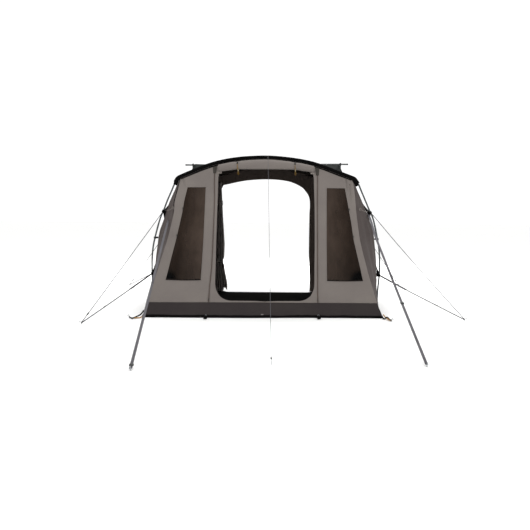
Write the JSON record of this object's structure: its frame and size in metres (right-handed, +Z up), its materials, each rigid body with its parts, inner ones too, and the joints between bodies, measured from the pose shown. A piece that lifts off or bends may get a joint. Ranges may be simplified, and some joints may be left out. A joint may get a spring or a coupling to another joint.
{
  "type": "van awning",
  "caption": "Free-standing van awning with a leaning front, arched roof, open rolled-up door, side windows and a connection tunnel behind.",
  "frame": {"origin": "on the ground, under the middle of the living area's floor", "axes": "+X to the right of someone who faces the front, +Y to the back towards the vehicle, +Z up"},
  "size_m": [4.9695, 5.6086, 2.2113],
  "materials": {
    "front_cloth": "woven polyester, coated, taupe",
    "side_cloth": "woven polyester, coated, grey",
    "skirt_cloth": "heavy coated polyester, dark brown-grey",
    "groundsheet": "coated polyethylene sheet, near black",
    "inner_cloth": "dark inner cloth, gathered",
    "black_webbing": "black sewn pole sleeve and reinforcement cloth",
    "tunnel_cloth": "woven polyester, charcoal green",
    "window_film": "tinted flexible PVC film, smoky brown",
    "zip": "coil zip on a brown-black tape",
    "tie_cord": "elastic cord, orange-brown",
    "alloy_pole": "drawn tube, dull grey",
    "dark_pole": "coated tube, dark grey",
    "guy_line": "polyester cord and webbing, grey, with steel pegs"
  },
  "bodies": {
    "root": {"centre_guy": "guy_line", "curtain_tie": "black_webbing", "door_roll": "front_cloth", "door_surround": "front_cloth", "door_tie_left": "tie_cord", "door_tie_right": "tie_cord", "front_guys_left": "guy_line", "front_guys_right": "guy_line", "front_leg_left": "dark_pole", "front_leg_right": "dark_pole", "front_lower_gusset_left": "black_webbing", "front_lower_gusset_right": "black_webbing", "front_panel_left": "front_cloth", "front_panel_right": "front_cloth", "front_pole_sleeve": "black_webbing", "front_roof_bow": "dark_pole", "front_skirt": "skirt_cloth", "front_upper_gusset_left": "black_webbing", "front_upper_gusset_right": "black_webbing", "groundsheet": "groundsheet", "rail_strip": "tunnel_cloth", "rear_curtain": "inner_cloth", "rear_guys_left": "guy_line", "rear_guys_right": "guy_line", "rear_header": "side_cloth", "rear_leg_left": "dark_pole", "rear_leg_right": "dark_pole", "rear_lower_gusset_left": "black_webbing", "rear_lower_gusset_right": "black_webbing", "rear_panel_left": "side_cloth", "rear_panel_right": "side_cloth", "rear_pole_sleeve": "black_webbing", "rear_roof_bow": "dark_pole", "rear_upper_gusset_left": "black_webbing", "rear_upper_gusset_right": "black_webbing", "roof_panel": "side_cloth", "side_skirt_left": "skirt_cloth", "side_skirt_right": "skirt_cloth", "side_wall_left": "side_cloth", "side_wall_right": "side_cloth", "storm_strap_left": "guy_line", "storm_strap_right": "guy_line", "tunnel_cross_pole": "alloy_pole", "tunnel_roof": "tunnel_cloth", "tunnel_side_left": "tunnel_cloth", "tunnel_side_right": "tunnel_cloth", "tunnel_upright_left": "dark_pole", "tunnel_upright_right": "dark_pole", "window_film_left": "window_film", "window_film_right": "window_film", "zip_left": "zip", "zip_right": "zip"}
  },
  "joints": []
}
